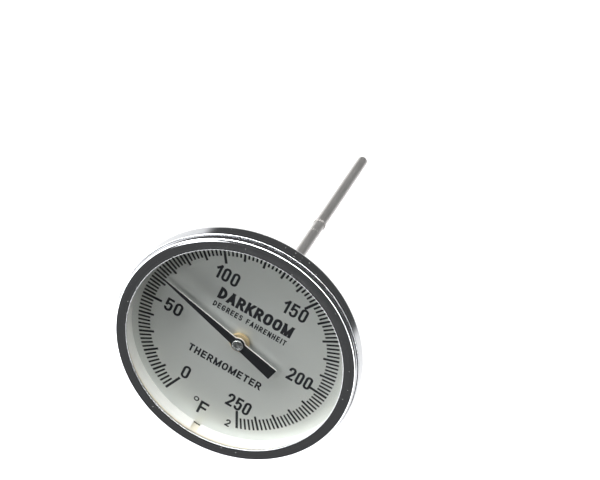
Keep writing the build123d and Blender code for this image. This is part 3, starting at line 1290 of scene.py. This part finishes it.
    def shaft(self) -> None:
        """Turns the spindle, with a centre mark in its upper end."""
        rod = Reach.of("spindle_shaft")
        corners = [
            (0, rod.bottom, 0), (self.spindle, rod.bottom, BROKEN), (self.spindle, rod.top, FINE),
            (self.dimple, rod.top, KEEN), (0, rod.top - 0.9 * self.dimple, 0),
        ]
        dress = Dress("spindle_steel", ("spindle_shaft",), (SPINDLE_STEEL,), MOVING_BODY)
        turned_piece("spindle", corners, dress, 4, 64, False)


@dataclass(frozen=True)
class Stem:
    """The stem tube, its raised ring, tip, socket and weld."""

    wall: float = 0.45
    scribe: float = -79.0
    scribe_width: float = 0.5
    scribe_cut: float = 0.08
    ring_seat: float = 0.2
    tip_round: float = 1.5
    socket_wall: float = 1.45
    flange: float = 2.4
    socket_chamfer: float = 0.6
    bead_round: float = 0.5
    bead_rise: float = 0.42
    sides: int = 128

    @property
    def radius(self) -> float:
        """The tube's outer radius."""
        return Reach.of("stem_tube").radius

    def build(self) -> None:
        """Makes every piece of the stem."""
        for make in (self.tube, self.ring, self.tip, self.socket, self.weld):
            make()

    def turn(self, name: str, node: str, corners: Corners, steps: int, closed: bool = True) -> None:
        """Turns a steel piece that stands for one node.

        Args:
            name: The piece's name.
            node: The node that it stands for.
            corners: Radius, height and rounding of each corner, anticlockwise.
            steps: Points along each rounding, less one.
            closed: Whether the section comes back to its start.
        """
        dress = Dress("stem_steel", (node,), (STEM_STEEL,))
        turned_piece(name, corners, dress, steps, self.sides, closed)

    def tube(self) -> None:
        """Turns the tube, with a seat for the ring and a line scribed round it."""
        tube, collar, radius = Reach.of("stem_tube"), Reach.of("stem_ring"), self.radius
        bore, cut, seat = radius - self.wall, radius - self.scribe_cut, radius - self.ring_seat
        line_end = self.scribe + self.scribe_width
        corners = [
            (bore, tube.bottom, FINE), (radius, tube.bottom, KEEN), (radius, collar.bottom, KEEN),
            (seat, collar.bottom, KEEN), (seat, collar.top, KEEN), (radius, collar.top, KEEN),
            (radius, self.scribe, KNIFE), (cut, self.scribe, KNIFE), (cut, line_end, KNIFE),
            (radius, line_end, KNIFE), (radius, tube.top, PLAIN), (bore, tube.top, PLAIN),
        ]
        self.turn("stem", "stem_tube", corners, 3)

    def ring(self) -> None:
        """Turns the raised ring, which is let into the tube."""
        collar, seat = Reach.of("stem_ring"), self.radius - self.ring_seat
        corners = [
            (seat, collar.bottom, FINE), (collar.radius, collar.bottom, SOFT),
            (collar.radius, collar.top, SOFT), (seat, collar.top, FINE),
        ]
        self.turn("stem_bead", "stem_ring", corners, 6)

    def tip(self) -> None:
        """Turns the tip: a rounded end and a spigot in the tube."""
        plug, seam = Reach.of("tip_plug"), Reach.of("stem_tube").bottom
        bore = self.radius - self.wall
        corners = [
            (0, plug.bottom, 0), (self.radius, plug.bottom, self.tip_round),
            (self.radius, seam, KEEN), (bore, seam, KEEN), (bore, plug.top, EASED),
            (0, plug.top, 0),
        ]
        self.turn("stem_tip", "tip_plug", corners, 10, False)

    def socket(self) -> None:
        """Turns the socket, with its flange inside the case."""
        socket, inside, cut = Reach.of("stem_socket"), Case().wall, self.socket_chamfer
        outer = self.radius + self.socket_wall
        corners = [
            (self.radius, socket.bottom, CRISP), (outer - cut, socket.bottom, BROKEN),
            (outer, socket.bottom + cut, BROKEN), (outer, inside, KEEN),
            (outer + self.flange, inside, BROKEN), (outer + self.flange, socket.top, SOFT),
            (self.radius, socket.top, CRISP),
        ]
        self.turn("stem_boss", "stem_socket", corners, 4)

    def weld(self) -> None:
        """Turns the weld round the socket."""
        weld, outer = Reach.of("socket_weld"), self.radius + self.socket_wall
        corners = [
            (outer, weld.bottom, KEEN),
            (weld.radius - self.bead_round, weld.bottom + self.bead_rise, self.bead_round),
            (weld.radius, 0, CRISP), (weld.radius, weld.top, KEEN), (outer, weld.top, KEEN),
        ]
        dress = Dress("weld_steel", ("socket_weld",), (WELD,))
        turned_piece("boss_weld", corners, dress, 5, self.sides)


@dataclass(frozen=True)
class Works:
    """What is inside the stem, which keeps its frame shapes and takes these finishes."""

    finishes: tuple[tuple[str, Finish], ...] = (
        ("coil_anchor", STEM_STEEL),
        ("bimetal_coil", STRIP_METAL),
        ("coil_collar", BRASS),
        ("top_bearing", BRONZE),
        ("middle_guide", BRONZE),
        ("lower_guide", BRONZE),
        ("stop_collar", BRASS),
    )

    def build(self) -> None:
        """Gives each node its finish."""
        for node, finish in self.finishes:
            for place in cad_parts[node].material_slots:
                place.material = finish.material()
            log.info("%s: finished as %s", node, finish.name)


# Studio


@dataclass(frozen=True)
class Camera:
    """The camera: where it looks, from how far, and how it leans."""

    target: tuple[float, float, float] = (1.8, 46.5, 4.65)
    distance: float = 507.4
    tilt: float = 31.95
    lean: float = 5.62
    roll: float = 27.9
    lens: float = 95.1

    def build(self) -> None:
        """Sets the camera.

        It stands off the target along a direction tilted from +Z towards 12 o'clock and a
        little clockwise of it, and 12 o'clock appears turned clockwise by the roll.
        """
        tilt, lean, roll = (math.radians(angle) for angle in (self.tilt, self.lean, self.roll))
        back = Vector(
            (math.sin(tilt) * math.sin(lean), math.sin(tilt) * math.cos(lean), math.cos(tilt))
        )
        noon = (Vector((0, 1, 0)) - back * back.y).normalized()
        level = noon.cross(back)
        up = noon * math.cos(roll) - level * math.sin(roll)
        right = noon * math.sin(roll) + level * math.cos(roll)
        place = (Vector(self.target) + back * self.distance) * MM
        data = bpy.data.cameras.new("camera")
        data.lens, data.clip_start, data.clip_end = self.lens, 0.01, 50.0
        camera = bpy.data.objects.new("camera", data)
        turn = Matrix((right, up, back)).transposed().to_4x4()
        camera.matrix_world = Matrix.Translation(place) @ turn
        bpy.context.scene.collection.objects.link(camera)
        bpy.context.scene.camera = camera


@dataclass(frozen=True)
class Studio:
    """A pale floor in a white tent, with a dark ceiling, one lamp and a dark front."""

    floor_level: float = -330.0
    floor_reach: float = 6000.0
    floor_sides: int = 64
    lamp: tuple[float, float, float] = (-0.59, 0.07, 0.80)
    lamp_radius: float = 11.0
    lamp_edge: float = 4.0
    front: tuple[float, float, float] = (0.104, 0.994, 0.0)
    walls_to: float = 0.28
    walls_fade: float = 0.06
    walls_lean: float = 0.12
    front_fade: float = 0.6
    strip_fade: float = 0.03
    sides_fade: float = 0.06
    level_fade: float = 0.04
    front_from: float = 0.15
    dark: float = 0.10
    walls: float = 6.0
    front_gain: float = 15.0
    below: float = 1.3
    white: float = 1.1

    def build(self) -> None:
        """Makes the floor and the tent."""
        self.floor()
        self.tent()
        bpy.context.scene.view_settings.view_transform = "Standard"

    def floor(self) -> None:
        """A flat disc well under the stem, which mirrors don't show."""
        angle = np.arange(self.floor_sides) * FULL_TURN / self.floor_sides
        rim = swept(np.array([[self.floor_reach, self.floor_level]]), angle)
        mesh = bpy.data.meshes.new("floor")
        mesh.from_pydata((rim * MM).tolist(), [], [list(range(self.floor_sides))])
        mesh.materials.append(PAPER.material())
        floor = bpy.data.objects.new("floor", mesh)
        floor.visible_glossy = False
        bpy.context.scene.collection.objects.link(floor)

    def tent(self) -> None:
        """Lights the scene from all round.

        Light is a function of direction. White walls, brightest in front and higher at the
        left, stand all round the horizon under a dark ceiling with one lamp in it, and stop
        short of the horizon in front. Below the horizon it is white at the back and dark at
        the front. What the camera sees past the floor is plain white.
        """
        world = bpy.data.worlds.new("tent")
        world.use_nodes = True
        graph = Graph(world.node_tree)
        way = graph.add("ShaderNodeTexCoord", output="Generated")
        across, _, height = graph.axes(way)
        near = graph.vector("DOT_PRODUCT", way, self.lamp)
        rim, core = (
            math.cos(math.radians(self.lamp_radius + side * self.lamp_edge)) for side in (1, -1)
        )
        lit = near.ease(rim, core)
        top = height + across * self.walls_lean
        wall = top.ease(self.walls_to + self.walls_fade, self.walls_to)
        ahead = graph.vector("DOT_PRODUCT", way, self.front)
        in_front = ahead.ease(0.0, self.front_fade)
        strength = self.walls + in_front * self.front_gain
        wall *= 1 - in_front * height.ease(self.front_from + self.strip_fade, self.front_from)
        above = self.dark + (strength - self.dark) * wall + self.walls * lit
        facing = ahead.ease(-self.sides_fade, self.sides_fade)
        below = self.below * (1 - facing) + self.dark * facing
        up = height.ease(-self.level_fade, self.level_fade)
        seen = graph.add("ShaderNodeLightPath", output="Is Camera Ray")
        light = (above * up + below * (1 - up)) * (1 - seen) + self.white * seen
        shine = graph.add("ShaderNodeBackground", None, {"Color": colour(1, 1, 1), "Strength": light})
        graph.add("ShaderNodeOutputWorld", None, {"Surface": shine})
        bpy.context.scene.world = world


def main() -> None:
    """Builds the camera, the sub-assemblies and the studio."""
    logging.basicConfig(level=logging.INFO, format="%(message)s")
    for part in (Camera(), Case(), Dial(), Pointer(), Stem(), Works(), Studio()):
        log.info("building %s", type(part).__name__)
        part.build()


if __name__ == "__main__":
    main()
